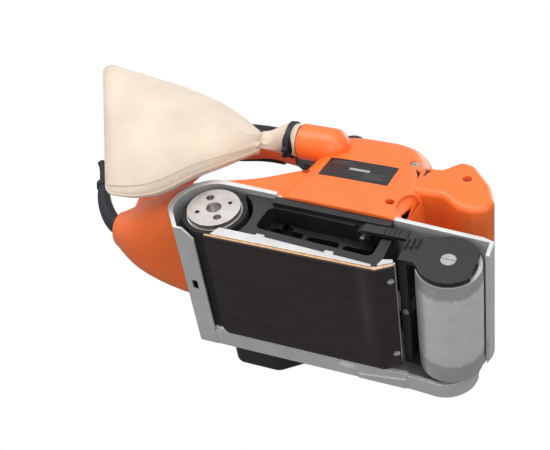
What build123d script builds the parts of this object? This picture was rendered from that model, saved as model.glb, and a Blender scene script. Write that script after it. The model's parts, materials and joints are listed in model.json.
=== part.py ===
from build123d import *
import math
import os

os.makedirs("parts", exist_ok=True)

# ---------------------------------------------------------------- dimensions
# millimetres. x is measured from the rear edge of the platen while building and
# moved by X_SHIFT at export, so the origin is under the middle of the platen's
# flat on the sanding plane. +X forward, +Y the machine's left, +Z up.
X_SHIFT = -67.0
PLATEN_HALF = 52.0          # half the width of the platen (100 mm class belt)
PLATEN_FLAT = 134.0         # flat length of the platen
DRUM_X, DRUM_Z, DRUM_R = -4.0, 29.0, 25.0
DISC_R = 20.4
IDLER_X, IDLER_Z, IDLER_R = 180.0, 24.0, 24.0
AXLE_R = 5.6
HOOD_X, HOOD_Z, HOOD_R, HOOD_RI = -7.0, 27.5, 33.0, 28.5
SIDE_OUT = 70.0             # outer face of the left side wall
OPEN_Y = -54.0              # open (right) side rim
MOTOR_X, MOTOR_Z = 88.0, 97.0
COUNTER_X, COUNTER_Z = 20.17, 33.0
PULLEY_M, PULLEY_C = 5.73, 21.0   # rib-top radii of the two pulleys
T_PINION, T_GEAR, MODULE = 16, 33, 1.0
SHELL_T = 3.0
RUN = 0.05                  # running clearance, radial
DUCT_Y, DUCT_Z, DUCT_R = -42.0, 134.0, 11.0
PORT_R = 14.5               # boss on the housing round the dust port
PART_Y = -33.0              # parting plane of the motor housing
TRAVEL = 10.0               # belt tension travel of the idler

nodes = {}


def save(name, shape):
    nodes[name] = shape


def box(x0, x1, y0, y1, z0, z1):
    return Pos((x0 + x1) / 2, (y0 + y1) / 2, (z0 + z1) / 2) * Box(x1 - x0, y1 - y0, z1 - z0)


def cyl_y(x, z, r, y0, y1):
    return Pos(x, (y0 + y1) / 2, z) * Rot(90, 0, 0) * Cylinder(r, y1 - y0)


def cyl_x(y, z, r, x0, x1):
    return Pos((x0 + x1) / 2, y, z) * Rot(0, 90, 0) * Cylinder(r, x1 - x0)


def cyl_z(x, y, r, z0, z1):
    return Pos(x, y, (z0 + z1) / 2) * Cylinder(r, z1 - z0)


def ring_y(x, z, ro, ri, y0, y1):
    return cyl_y(x, z, ro, y0, y1) - cyl_y(x, z, ri, y0 - 1, y1 + 1)


def rounded_edges(pts, radii):
    """Edges of a closed polygon of 2-D points with an arc of its own radius at each corner."""
    n = len(pts)
    tang = []
    for i in range(n):
        p, a, b = pts[i], pts[i - 1], pts[(i + 1) % n]
        r = radii[i] if isinstance(radii, (list, tuple)) else radii
        u = (a[0] - p[0], a[1] - p[1])
        v = (b[0] - p[0], b[1] - p[1])
        lu, lv = math.hypot(*u), math.hypot(*v)
        u = (u[0] / lu, u[1] / lu)
        v = (v[0] / lv, v[1] / lv)
        cosang = max(-1.0, min(1.0, u[0] * v[0] + u[1] * v[1]))
        half = math.acos(cosang) / 2
        if r <= 0 or abs(half - math.pi / 2) < 1e-3:
            tang.append((p, None, p))
            continue
        d = min(r / math.tan(half), 0.48 * lu, 0.48 * lv)
        r = d * math.tan(half)
        h = r / math.sin(half)
        w = (u[0] + v[0], u[1] + v[1])
        lw = math.hypot(*w)
        c = (p[0] + w[0] / lw * h, p[1] + w[1] / lw * h)
        m = (c[0] - w[0] / lw * r, c[1] - w[1] / lw * r)
        tang.append(((p[0] + u[0] * d, p[1] + u[1] * d), m, (p[0] + v[0] * d, p[1] + v[1] * d)))
    return tang


def outline(pts, radii, place):
    edges = []
    tang = rounded_edges(pts, radii)
    for i, (s, m, e) in enumerate(tang):
        if m is not None:
            edges.append(Edge.make_three_point_arc(place(s), place(m), place(e)))
        nxt = tang[(i + 1) % len(tang)][0]
        if math.hypot(nxt[0] - e[0], nxt[1] - e[1]) > 1e-4:
            edges.append(Edge.make_line(place(e), place(nxt)))
    return Face(Wire(edges))


def prism_y(pts, y0, y1, radii=0.0):
    face = outline(pts, radii, lambda p: Vector(p[0], y0, p[1]))
    return Part() + extrude(face, amount=y1 - y0, dir=(0, 1, 0))


def prism_z(pts, z0, z1, radii=0.0):
    face = outline(pts, radii, lambda p: Vector(p[0], p[1], z0))
    return Part() + extrude(face, amount=z1 - z0, dir=(0, 0, 1))


def super_wire(c, e1, e2, a, b, n, count=28):
    """Closed smooth wire: superellipse with half sizes a along e1 and b along e2."""
    pts = []
    for k in range(count):
        t = 2 * math.pi * k / count
        ct, st = math.cos(t), math.sin(t)
        u = math.copysign(abs(ct) ** (2.0 / n), ct) * a
        v = math.copysign(abs(st) ** (2.0 / n), st) * b
        pts.append(Vector(*c) + Vector(*e1) * u + Vector(*e2) * v)
    return Wire([Edge.make_spline(pts, periodic=True)])


def loft(wires):
    return Part() + Solid.make_loft(wires, ruled=False)


def screw_y(x, z, y_head, r_head, h_head, r_shank, length):
    """Pan screw whose head faces -Y with a cross recess."""
    s = cyl_y(x, z, r_head, y_head, y_head + h_head) + cyl_y(x, z, r_shank, y_head + h_head, y_head + length)
    s -= box(x - 0.5, x + 0.5, y_head - 1, y_head + 1.2, z - 2.0, z + 2.0)
    s -= box(x - 2.0, x + 2.0, y_head - 1, y_head + 1.2, z - 0.5, z + 0.5)
    return s


# ---------------------------------------------------------------- base frame
# Outer line of the casting seen from the side: hood round the drum, deck, front lip.
def arc_pts(cx, cz, r, a0, a1, n):
    return [(cx + r * math.cos(math.radians(a0 + (a1 - a0) * i / n)),
             cz + r * math.sin(math.radians(a0 + (a1 - a0) * i / n))) for i in range(n + 1)]


DECK = [(-7.0, 60.5), (33.0, 58.6), (131.0, 55.0), (197.5, 51.2)]


def deck_z(x):
    for (x0, z0), (x1, z1) in zip(DECK, DECK[1:]):
        if x <= x1:
            return z0 + (z1 - z0) * (x - x0) / (x1 - x0)
    return DECK[-1][1]


outer_pts = ([(-25.0, 1.2), (-38.5, 19.0)] + arc_pts(HOOD_X, HOOD_Z, HOOD_R, 188, 92, 16)
             + DECK[1:] + [(206.0, 48.6), (206.3, 34.0)])
outer_face = [(x, z) for x, z in outer_pts]
inner_pts = ([(203.4, 34.0), (202.8, 47.4), (196.5, 47.7), (131.0, 51.5), (33.0, 55.1)]
             + arc_pts(HOOD_X, HOOD_Z, HOOD_RI, 86, 190, 16) + [(-33.5, 18.0), (-22.5, 3.0), (-9.5, 3.0), (-9.5, 1.2)])
shell_profile = outer_face + inner_pts
base = prism_y(shell_profile, OPEN_Y, SIDE_OUT)

# the deck edge steps in where the orange housing wraps it
base -= box(36.0, 130.8, OPEN_Y - 1, -50.8, 49.0, 62.0)

# left side wall with its rim
side_pts = ([(-25.0, 1.2), (-38.5, 19.0)] + arc_pts(HOOD_X, HOOD_Z, HOOD_R, 188, 92, 16)
            + DECK[1:] + [(204.0, 44.0)] + arc_pts(174.0, 26.0, 25.5, 20, -90, 12) + [(150.0, 2.0), (-10.0, 1.6)])
side = prism_y(side_pts, 55.5, SIDE_OUT)
rim_cut_pts = ([(-21.0, 5.0), (-33.5, 18.5)] + arc_pts(HOOD_X, HOOD_Z, HOOD_RI, 188, 92, 16)
               + [(33.0, 54.9), (131.0, 51.2), (190.0, 47.0), (198.0, 42.0)]
               + arc_pts(174.0, 26.0, 22.3, 20, -90, 12) + [(150.0, 5.0)])
side -= prism_y(rim_cut_pts, 50.0, 66.0)
base += side
# flat ledge under the left edge, beside the platen
base += box(-9.0, 152.0, 54.0, 70.0, 1.6, 5.0)
# inner wall that carries the drum and countershaft bearings
base += prism_y([(-33.0, 18.0), (-31.5, 38.0), (-20.0, 50.0), (0.0, 57.0), (34.0, 56.0), (46.0, 54.0), (46.0, 4.0), (-22.0, 4.0)],
                52.0, 58.0, [2, 4, 4, 1, 1, 1, 1, 1])
base += cyl_y(DRUM_X, DRUM_Z, 15.5, 65.0, 66.5)
base += cyl_y(COUNTER_X, COUNTER_Z, 12.5, 65.0, 66.5) - cyl_y(DRUM_X, DRUM_Z, 15.4, 60, 70)
base -= cyl_y(DRUM_X, DRUM_Z, 13.0, 50.0, 68.0)
base -= cyl_y(COUNTER_X, COUNTER_Z, 9.5, 50.0, 71.0)
base -= ring_y(DRUM_X, DRUM_Z, 18.3, 12.9, 58.0, 65.0)
base -= cyl_y(COUNTER_X, COUNTER_Z, 12.0, 58.0, 65.0)
# slot in the rear strip, cut corner at its open end, chamfer on the lip's far end
base -= prism_z([(-20.0, 0.0), (-15.0, 0.0), (-15.0, 10.0), (-20.0, 10.0)], 0.0, 4.0, 1.2)
base -= prism_z([(-23.5, -60.0), (0.0, -60.0), (0.0, -45.0), (-9.5, -45.0)], 0.0, 4.2, 0.0)
base -= prism_y([(199.0, 28.0), (215.0, 28.0), (215.0, 60.0)], 54.5, 75.0)
base -= prism_z([(192.0, 75.0), (215.0, 75.0), (215.0, 50.0)], 28.0, 62.0, 0.0)
# notch with a screw, step and light wedge on the ledge
base -= box(96.0, 110.0, 53.0, 61.0, 0.0, 3.4)
base += prism_z([(112.0, 66.0), (150.0, 60.0), (150.0, 70.0), (112.0, 70.0)], 0.9, 1.7, 0.0)
# screw holes for the housing from below, through the deck
DECK_SCREWS = [(48.0, -30.0), (48.0, 40.0), (122.0, -30.0), (122.0, 40.0)]
for x, y in DECK_SCREWS:
    base -= cyl_z(x, y, 2.6, 40.0, 65.0)
# bore for the tracking spindle
TRACK_X, TRACK_Z = 146.0, 30.0
base -= cyl_y(TRACK_X, TRACK_Z, 3.5 + RUN, 60.0, 75.0)
# rib between the deck and the side wall behind the idler
base += box(60.0, 62.5, 52.0, 66.5, 5.0, deck_z(60) - 3.0)
base += box(100.0, 102.5, 56.0, 66.5, 5.0, deck_z(100) - 3.0)
save("base_frame", base)

# ---------------------------------------------------------------- inner frame
frame = prism_y([(8.0, 4.6), (131.0, 4.6), (134.5, 9.0), (134.5, 46.0), (131.0, 51.4), (33.0, 55.0), (10.0, 55.6)], -49.0, 50.5)
frame -= cyl_y(DRUM_X, DRUM_Z, 29.0, -60, 60)
frame -= box(0.0, 26.0, -60, 60, 0.0, 14.0)
# flat top rail along the open side, just below the housing edge
frame += prism_y([(36.5, 47.0), (130.3, 45.0), (130.3, 51.3), (36.5, 53.8)], -53.4, -49.0)
# open side recess with three pockets
frame -= prism_y([(32.0, 22.0), (126.0, 16.0), (127.0, 42.5), (34.0, 46.0)], -60.0, -33.0, 5.0)
for x0, x1, zl in ((36.0, 62.0, 25.5), (66.0, 92.0, 23.5), (96.0, 122.0, 21.5)):
    frame -= prism_y([(x0, zl), (x1, zl), (x1, zl + 15.5), (x0, zl + 15.5)], -40.0, -18.0, 2.5)
frame -= box(32.0, 126.0, -34.0, -31.5, 20.0, 22.6)
# cavities from below, between ribs
for x0, x1 in ((28.0, 60.0), (63.0, 82.0)):
    for y0, y1 in ((-14.0, 14.0), (17.0, 47.0)):
        frame -= box(x0, x1, y0, y1, 0.0, 42.0)
for x0, x1 in ((85.0, 106.0), (109.0, 131.0)):
    for y0, y1 in ((-30.0, -13.0), (13.0, 47.0)):
        frame -= box(x0, x1, y0, y1, 0.0, 15.0)
# guide bore for the tension stem, counterbore for its spring
frame -= cyl_x(0.0, 24.0, 6.0 + RUN, 82.5, 140.0)
frame -= cyl_x(0.0, 24.0, 10.0, 112.0, 140.0)
# pocket for the lever hub
frame -= cyl_z(112.0, -46.0, 7.0, 35.5, 45.2)
frame -= box(103.6, 140.0, -54.0, -44.5, 35.5, 45.2)
frame -= cyl_z(112.0, -46.0, 2.0, 33.0, 48.0)
for x, y in DECK_SCREWS:
    frame -= cyl_z(x, y, 5.2, 36.0, 60.0)
save("inner_frame", frame)

# deck screws: heads under the deck, shanks up into the housing
deck_screws = None
for x, y in DECK_SCREWS:
    zt = deck_z(x) - 3.9
    s = cyl_z(x, y, 4.6, zt - 3.0, zt) + cyl_z(x, y, 2.2, zt, 64.0)
    s -= box(x - 2.4, x + 2.4, y - 0.5, y + 0.5, zt - 4, zt - 1.8)
    s -= box(x - 0.5, x + 0.5, y - 2.4, y + 2.4, zt - 4, zt - 1.8)
    deck_screws = s if deck_screws is None else deck_screws + s

# ---------------------------------------------------------------- platen
BEND = [(PLATEN_FLAT, 0.0), (146.0, 8.0)]
bl = math.hypot(12.0, 8.0)
bx, bz = 12.0 / bl, 8.0 / bl


def bent_strip(x0, y0, y1, za, zb, x_over=0.0):
    """Flat from x0 to the bend and then up the slope, between heights za and zb off the sole."""
    def off(h):
        k = h * math.tan(math.atan2(8.0, 12.0) / 2)
        end = (PLATEN_FLAT + bx * (bl + x_over) - bz * h, bz * (bl + x_over) + bx * h)
        return (PLATEN_FLAT - k, h), end
    a, ea = off(za)
    b, eb = off(zb)
    return prism_y([(x0, za), a, ea, eb, b, (x0, zb)], y0, y1)


def corner_cut(shape, x0, y1, r):
    """Rounds the far rear corner."""
    blank = box(x0 - 1, x0 + r, y1 - r, y1 + 1, -5, 20)
    return shape - (blank - cyl_z(x0 + r, y1 - r, r, -6, 21))


pad = bent_strip(0.0, -PLATEN_HALF, PLATEN_HALF, 0.0, 1.4)
pad = corner_cut(pad, 0.0, PLATEN_HALF, 6.0)
cork = bent_strip(0.3, -PLATEN_HALF, PLATEN_HALF, 1.4, 3.0)
cork = corner_cut(cork, 0.3, PLATEN_HALF, 6.0)
sheet = bent_strip(5.0, -PLATEN_HALF + 0.3, PLATEN_HALF - 0.5, 3.0, 4.5, 1.5)
# turned up flange on the open side, tapering forward, and three small tabs
sheet += prism_y([(5.0, 3.0), (130.0, 3.0), (130.0, 5.0), (44.0, 10.5), (9.0, 11.0)], -53.2, -51.7)
for tx, th in ((42.0, 12.5), (97.0, 9.8)):
    sheet += prism_y([(tx - 3.5, 4.0), (tx + 3.5, 4.0), (tx + 3.5, th), (tx - 3.5, th)], -53.2, -51.0, 1.0)
tab = prism_y([(133.5, 4.2), (144.0, 11.2), (143.0, 13.6), (136.0, 12.0)], -53.2, -51.7, 0.8)
sheet += tab
SCREW_AT = [(143.3, -38.0), (143.3, 38.0)]
nrm = (-bz, bx)
platen_screws = None
for sx, sy in SCREW_AT:
    d = sx - PLATEN_FLAT
    px, pz = PLATEN_FLAT + d * 1.0, d * 8.0 / 12.0
    tilt = math.degrees(math.atan2(8.0, 12.0))
    loc = Pos(px, sy, pz) * Rot(0, -tilt, 0)
    hole = loc * (Pos(0, 0, 3.0) * Cylinder(1.6, 12.0))
    sink = loc * (Pos(0, 0, 0.4) * Cylinder(3.0, 2.4))
    pad -= sink
    pad -= hole
    cork -= sink
    cork -= hole
    sheet -= hole
    head = loc * (Pos(0, 0, 0.9) * Cylinder(2.7, 1.2))
    head -= loc * (Pos(0, 0, 0.2) * Box(4.0, 0.8, 1.0))
    shank = loc * (Pos(0, 0, 3.5) * Cylinder(1.5, 4.2))
    s = head + shank
    platen_screws = s if platen_screws is None else platen_screws + s
save("graphite_pad", pad)
save("cork_layer", cork)
save("platen_plate", sheet)
save("platen_screws", platen_screws)

# ---------------------------------------------------------------- drum
core = cyl_y(DRUM_X, DRUM_Z, 21.5, -50.0, 50.5) + cyl_y(DRUM_X, DRUM_Z, DISC_R, -54.5, -50.0)
core -= ring_y(DRUM_X, DRUM_Z, 18.0, 10.5, -40.0, 51.0)
core -= cyl_y(DRUM_X, DRUM_Z, 5.75, -55.0, -44.0)
PHI = math.degrees(2.24)
for k, (rr, hr) in enumerate(((11.9, 3.0), (12.8, 1.75), (11.9, 3.0), (12.8, 1.75))):
    a = math.radians(PHI + 90.0 * k)
    core -= cyl_y(DRUM_X + rr * math.cos(a), DRUM_Z + rr * math.sin(a), hr, -55.0, -46.0)
core -= cyl_y(DRUM_X, DRUM_Z, 7.0, -30.0, 60.0)
rubber = ring_y(DRUM_X, DRUM_Z, DRUM_R, 21.5, -50.5, 50.5)
dshaft = cyl_y(DRUM_X, DRUM_Z, 7.0, -30.0, 67.9)
save("drum_core", core)
save("drum_rubber", rubber)
save("drum_shaft", dshaft)


def gear_face_points(teeth, m, phase, backlash):
    """Involute outline in the XZ plane round the origin; phase is the angle of a tooth centre, in radians."""
    rp = m * teeth / 2
    rb = rp * math.cos(math.radians(20))
    ra = rp + 0.95 * m
    rf = rp - 1.2 * m
    half_p = math.pi / (2 * teeth) - backlash / (2 * rp)

    def inv(r):
        al = math.acos(min(1.0, rb / r))
        return math.tan(al) - al
    radii = [max(rb, rf + 0.05) + (ra - max(rb, rf + 0.05)) * i / 4 for i in range(5)]
    pts = []
    for k in range(teeth):
        c = phase + 2 * math.pi * k / teeth
        flank = [(r, half_p + inv(rp) - inv(r)) for r in radii]
        left = [(rf, flank[0][1])] + flank
        for r, h in left:
            pts.append((r * math.cos(c - h), r * math.sin(c - h)))
        for r, h in reversed(left):
            pts.append((r * math.cos(c + h), r * math.sin(c + h)))
    return pts


def gear(x, z, teeth, phase, y0, y1, bore):
    pts = [(x + u, z + v) for u, v in gear_face_points(teeth, MODULE, phase, 0.16)]
    return prism_y(pts, y0, y1) - cyl_y(x, z, bore, y0 - 1, y1 + 1)


line = math.atan2(COUNTER_Z - DRUM_Z, COUNTER_X - DRUM_X)
save("drum_gear", gear(DRUM_X, DRUM_Z, T_GEAR, line, 58.6, 64.4, 7.0))
save("drive_pinion", gear(COUNTER_X, COUNTER_Z, T_PINION, line + math.pi + math.pi / T_PINION, 58.6, 64.4, 5.0))
save("counter_shaft", cyl_y(COUNTER_X, COUNTER_Z, 5.0, 52.2, 90.5))
save("drum_bearings", ring_y(DRUM_X, DRUM_Z, 13.0, 7.0 + RUN, 52.2, 57.8) + ring_y(DRUM_X, DRUM_Z, 13.0, 7.0 + RUN, 65.0, 68.0))
save("counter_bearings", ring_y(COUNTER_X, COUNTER_Z, 9.5, 5.0 + RUN, 52.2, 57.8) + ring_y(COUNTER_X, COUNTER_Z, 9.5, 5.0 + RUN, 65.0, 70.0))


# ribbed pulleys and the ribbed belt: ribs run round, so any turn stays clear
def ribbed(x, z, r_top, y0, y1, bore, flange=0.0):
    p = cyl_y(x, z, r_top, y0, y1)
    n = 4
    pitch = (y1 - y0 - 2.0) / n
    for i in range(n):
        c = y0 + 1.0 + pitch * (i + 0.5)
        p -= ring_y(x, z, r_top + 1, r_top - 1.2, c - pitch * 0.28, c + pitch * 0.28)
    if flange:
        p += ring_y(x, z, r_top + flange, bore, y0 - 1.2, y0) + ring_y(x, z, r_top + flange, bore, y1, y1 + 1.2)
    return p - cyl_y(x, z, bore, y0 - 5, y1 + 5)


save("counter_pulley", ribbed(COUNTER_X, COUNTER_Z, PULLEY_C, 76.0, 88.0, 5.0, 1.0))
save("motor_pulley", ribbed(MOTOR_X, MOTOR_Z, PULLEY_M, 76.0, 88.0, 3.5, 1.2))


def belt_loop(r1, r2, y0, y1, t):
    """Open belt loop round both pulleys: outer hull less inner hull."""
    def hull(ra, rb):
        dx, dz = MOTOR_X - COUNTER_X, MOTOR_Z - COUNTER_Z
        d = math.hypot(dx, dz)
        base_a = math.atan2(dz, dx)
        beta = math.acos((ra - rb) / d)
        p1 = (COUNTER_X + ra * math.cos(base_a + beta), COUNTER_Z + ra * math.sin(base_a + beta))
        p2 = (MOTOR_X + rb * math.cos(base_a + beta), MOTOR_Z + rb * math.sin(base_a + beta))
        p3 = (MOTOR_X + rb * math.cos(base_a - beta), MOTOR_Z + rb * math.sin(base_a - beta))
        p4 = (COUNTER_X + ra * math.cos(base_a - beta), COUNTER_Z + ra * math.sin(base_a - beta))
        mid2 = (MOTOR_X + rb * math.cos(base_a), MOTOR_Z + rb * math.sin(base_a))
        mid4 = (COUNTER_X - ra * math.cos(base_a), COUNTER_Z - ra * math.sin(base_a))
        v = lambda p: Vector(p[0], y0, p[1])
        w = Wire([Edge.make_line(v(p1), v(p2)), Edge.make_three_point_arc(v(p2), v(mid2), v(p3)),
                  Edge.make_line(v(p3), v(p4)), Edge.make_three_point_arc(v(p4), v(mid4), v(p1))])
        return Part() + extrude(Face(w), amount=y1 - y0, dir=(0, 1, 0))
    return hull(r1 + t, r2 + t) - hull(r1, r2)


drive_belt = belt_loop(PULLEY_C + RUN, PULLEY_M + RUN, 77.0, 87.0, 1.3)
pitch = 10.0 / 4
for i in range(4):
    c = 76.0 + 1.0 + pitch * (i + 0.5)
    drive_belt += belt_loop(PULLEY_C - 1.0, PULLEY_M - 1.0, c - pitch * 0.2, c + pitch * 0.2, 1.1)
save("drive_belt", drive_belt)

# ---------------------------------------------------------------- motor
shaft = cyl_y(MOTOR_X, MOTOR_Z, 3.5, -42.8, 89.0)
save("motor_shaft", shaft)
arm = cyl_y(MOTOR_X, MOTOR_Z, 22.0, -17.0, 21.0)
for k in range(12):
    a = 2 * math.pi * k / 12
    arm -= cyl_y(MOTOR_X + 19.5 * math.cos(a), MOTOR_Z + 19.5 * math.sin(a), 2.4, -18, 22)
    arm -= Pos(MOTOR_X + 21.6 * math.cos(a), 2.0, MOTOR_Z + 21.6 * math.sin(a)) * Rot(0, -math.degrees(a), 0) * Box(3.0, 42.0, 1.6)
arm -= cyl_y(MOTOR_X, MOTOR_Z, 3.5, -20, 24)
wind = None
for k in range(12):
    a = 2 * math.pi * k / 12
    s = cyl_y(MOTOR_X + 19.5 * math.cos(a), MOTOR_Z + 19.5 * math.sin(a), 2.3, -17.0, 21.0)
    wind = s if wind is None else wind + s
wind += ring_y(MOTOR_X, MOTOR_Z, 21.6, 8.0, -24.0, -17.0) + ring_y(MOTOR_X, MOTOR_Z, 21.6, 8.0, 21.0, 28.0)
save("armature_core", arm)
save("armature_windings", wind)
comm = ring_y(MOTOR_X, MOTOR_Z, 12.0, 3.5, 31.0, 45.0)
for k in range(12):
    a = 2 * math.pi * k / 12
    comm -= Pos(MOTOR_X + 12.0 * math.cos(a), 38.0, MOTOR_Z + 12.0 * math.sin(a)) * Rot(0, -math.degrees(a), 0) * Box(2.0, 16.0, 0.7)
save("commutator", comm)
fan = ring_y(MOTOR_X, MOTOR_Z, 9.0, 3.5, -36.5, -27.0) + ring_y(MOTOR_X, MOTOR_Z, 32.0, 3.5, -29.0, -27.0)
for k in range(9):
    a = 2 * math.pi * k / 9
    fan += Pos(MOTOR_X + 19.5 * math.cos(a), -32.5, MOTOR_Z + 19.5 * math.sin(a)) * Rot(0, -math.degrees(a) - 25, 0) * Box(20.0, 7.5, 1.6)
fan -= cyl_y(MOTOR_X, MOTOR_Z, 3.5, -40, -20)
save("suction_fan", fan)
stator = ring_y(MOTOR_X, MOTOR_Z, 36.0, 22.6, -17.0, 21.0)
for sx in (-1, 1):
    stator -= Pos(MOTOR_X + sx * 29.5, 2.0, MOTOR_Z) * Box(7.0, 40.0, 25.0)
save("stator_core", stator)
coils = None
for sx in (-1, 1):
    c = Pos(MOTOR_X + sx * 29.5, 2.0, MOTOR_Z) * Box(6.6, 38.0, 24.6)
    ends = (ring_y(MOTOR_X, MOTOR_Z, 33.0, 25.0, -25.0, -17.0) + ring_y(MOTOR_X, MOTOR_Z, 33.0, 25.0, 21.0, 29.0))
    ends &= box(MOTOR_X + (2 if sx > 0 else -40), MOTOR_X + (40 if sx > 0 else -2), -30, 35, MOTOR_Z - 40, MOTOR_Z + 40)
    c += ends
    coils = c if coils is None else coils + c
save("stator_coils", coils)
save("motor_bearings", ring_y(MOTOR_X, MOTOR_Z, 8.0, 3.5 + RUN, -43.0, -38.0) + ring_y(MOTOR_X, MOTOR_Z, 8.0, 3.5 + RUN, 57.0, 63.0))
holders = None
brushes = None
for s in (-1, 1):
    h = box(MOTOR_X - 5.5, MOTOR_X + 5.5, 33.0, 43.0, *sorted((MOTOR_Z + s * 13.5, MOTOR_Z + s * 32.0)))
    h -= box(MOTOR_X - 3.5, MOTOR_X + 3.5, 34.5, 41.5, *sorted((MOTOR_Z + s * 10.0, MOTOR_Z + s * 29.0)))
    b = box(MOTOR_X - 3.4, MOTOR_X + 3.4, 34.6, 41.4, *sorted((MOTOR_Z + s * 12.3, MOTOR_Z + s * 26.0)))
    b -= cyl_y(MOTOR_X, MOTOR_Z, 12.1, 30, 46)
    holders = h if holders is None else holders + h
    brushes = b if brushes is None else brushes + b
save("brush_holders", holders)
save("carbon_brushes", brushes)

# ---------------------------------------------------------------- belt cover
COVER = [(1.0, 8.0), (38.0, 8.0), (66.0, 30.0), (113.0, 84.0), (112.0, 114.0), (88.0, 121.0), (62.0, 112.0), (-8.0, 52.0), (-9.0, 26.0)]
COVER_R = [9, 12, 14, 16, 14, 18, 20, 14, 14]
cover = prism_y(COVER, 70.0, 99.0, COVER_R)
try:
    cover = fillet(cover.edges().filter_by(lambda e: e.center().Y > 98.9), 5.0)
except Exception:
    pass


def inset(pts, d):
    cx = sum(p[0] for p in pts) / len(pts)
    cz = sum(p[1] for p in pts) / len(pts)
    out = []
    n = len(pts)
    for i in range(n):
        p, a, b = pts[i], pts[i - 1], pts[(i + 1) % n]
        def off(p0, p1):
            dx, dz = p1[0] - p0[0], p1[1] - p0[1]
            length = math.hypot(dx, dz)
            return (-dz / length * d, dx / length * d)
        o1, o2 = off(a, p), off(p, b)
        # intersection of the two shifted lines
        x1, z1 = a[0] + o1[0], a[1] + o1[1]
        x2, z2 = p[0] + o1[0], p[1] + o1[1]
        x3, z3 = p[0] + o2[0], p[1] + o2[1]
        x4, z4 = b[0] + o2[0], b[1] + o2[1]
        den = (x1 - x2) * (z3 - z4) - (z1 - z2) * (x3 - x4)
        if abs(den) < 1e-6:
            out.append((x2, z2))
            continue
        px = ((x1 * z2 - z1 * x2) * (x3 - x4) - (x1 - x2) * (x3 * z4 - z3 * x4)) / den
        pz = ((x1 * z2 - z1 * x2) * (z3 - z4) - (z1 - z2) * (x3 * z4 - z3 * x4)) / den
        out.append((px, pz))
    return out


cover_in = inset(COVER, 2.4)
cover -= prism_y(cover_in, 69.0, 96.6, [max(2.0, r - 2.4) for r in COVER_R])
# raised panel and cooling ribs on the outer face
for i in range(5):
    x0 = 10.0 + i * 9.0
    cover += Pos(x0 + 6, 99.3, 33.0 + i * 8.4) * Rot(0, 45, 0) * Box(26.0, 1.4, 2.2)
COVER_SCREWS = [(12.0, 62.0), (52.0, 26.0), (106.0, 107.0)]
cover_screws = None
for x, z in COVER_SCREWS:
    post = cyl_y(x, z, 5.0, 70.0, 96.6)
    cover += post & prism_y(COVER, 69.0, 99.0, COVER_R)
    cover -= cyl_y(x, z, 3.6, 92.0, 101.0)
    cover -= cyl_y(x, z, 1.9, 69.0, 100.0)
    s = cyl_y(x, z, 3.4, 92.0, 94.6) + cyl_y(x, z, 1.8, 70.0, 92.0)
    s -= box(x - 0.5, x + 0.5, 93.4, 95.0, z - 2.2, z + 2.2)
    s -= box(x - 2.2, x + 2.2, 93.4, 95.0, z - 0.5, z + 0.5)
    cover_screws = s if cover_screws is None else cover_screws + s
save("belt_cover", cover)
save("belt_cover_screws", cover_screws)

# ---------------------------------------------------------------- housing
Xv, Yv, Zv = (1, 0, 0), (0, 1, 0), (0, 0, 1)
MOTOR_SECT = [  # z, x0, x1, y0, y1, exponent
    (46.0, 34.0, 139.5, -55.6, 69.5, 9.0),
    (62.0, 34.0, 139.5, -54.0, 69.5, 8.0),
    (84.0, 35.0, 139.0, -50.6, 69.0, 7.0),
    (108.0, 36.0, 138.0, -46.4, 67.5, 6.0),
    (130.0, 37.0, 136.0, -43.0, 62.0, 5.0),
    (146.0, 38.5, 131.0, -40.5, 56.0, 4.4),
    (158.0, 42.0, 121.0, -35.0, 46.0, 3.8),
    (166.0, 50.0, 108.0, -24.0, 32.0, 3.0),
    (171.0, 62.0, 96.0, -10.0, 18.0, 2.4),
]


def motor_loft(off, top=0.0):
    ws = []
    for i, (z, x0, x1, y0, y1, n) in enumerate(MOTOR_SECT):
        zz = z - (top * (z - 46.0) / 125.0)
        ws.append(super_wire(((x0 + x1) / 2, (y0 + y1) / 2, zz), Xv, Yv, (x1 - x0) / 2 - off, (y1 - y0) / 2 - off, n, 40))
    return loft(ws)


TAIL_SECT = [  # x, y0, y1, z0, z1, exponent
    (62.0, -44.0, 62.0, 52.0, 112.0, 5.0),
    (34.0, -50.0, 63.0, 46.0, 98.0, 4.4),
    (10.0, -51.5, 61.0, 36.0, 82.0, 4.0),
    (-14.0, -50.5, 58.0, 26.0, 76.0, 3.6),
    (-38.0, -47.5, 53.0, 19.0, 71.5, 3.2),
    (-60.0, -40.0, 44.0, 15.5, 66.0, 2.8),
    (-82.0, -27.0, 31.0, 16.0, 60.0, 2.5),
    (-98.0, -16.0, 20.0, 23.0, 55.0, 2.3),
    (-105.0, -12.0, 16.0, 27.0, 53.0, 2.2),
]


def tail_loft(off):
    ws = []
    for i, (x, y0, y1, z0, z1, n) in enumerate(TAIL_SECT):
        xx = x + (off if i == len(TAIL_SECT) - 1 else 0.0)
        ws.append(super_wire((xx, (y0 + y1) / 2, (z0 + z1) / 2), Yv, Zv, (y1 - y0) / 2 - off, (z1 - z0) / 2 - off, n, 32))
    return loft(ws)


GRIP = [  # x, z, tangent angle in degrees from -X upward, half width, half height
    (66.0, 149.0, 22.0, 19.0, 17.0),
    (34.0, 162.0, 20.0, 15.5, 14.5),
    (2.0, 170.0, 8.0, 13.5, 12.5),
    (-32.0, 171.0, -4.0, 13.5, 12.5),
    (-62.0, 163.0, -26.0, 15.0, 14.0),
    (-83.0, 143.0, -58.0, 16.5, 15.0),
    (-91.0, 116.0, -86.0, 16.5, 14.5),
    (-89.0, 86.0, -96.0, 17.5, 15.0),
    (-82.0, 58.0, -102.0, 20.0, 16.5),
    (-78.0, 42.0, -102.0, 21.0, 16.0),
]


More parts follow.
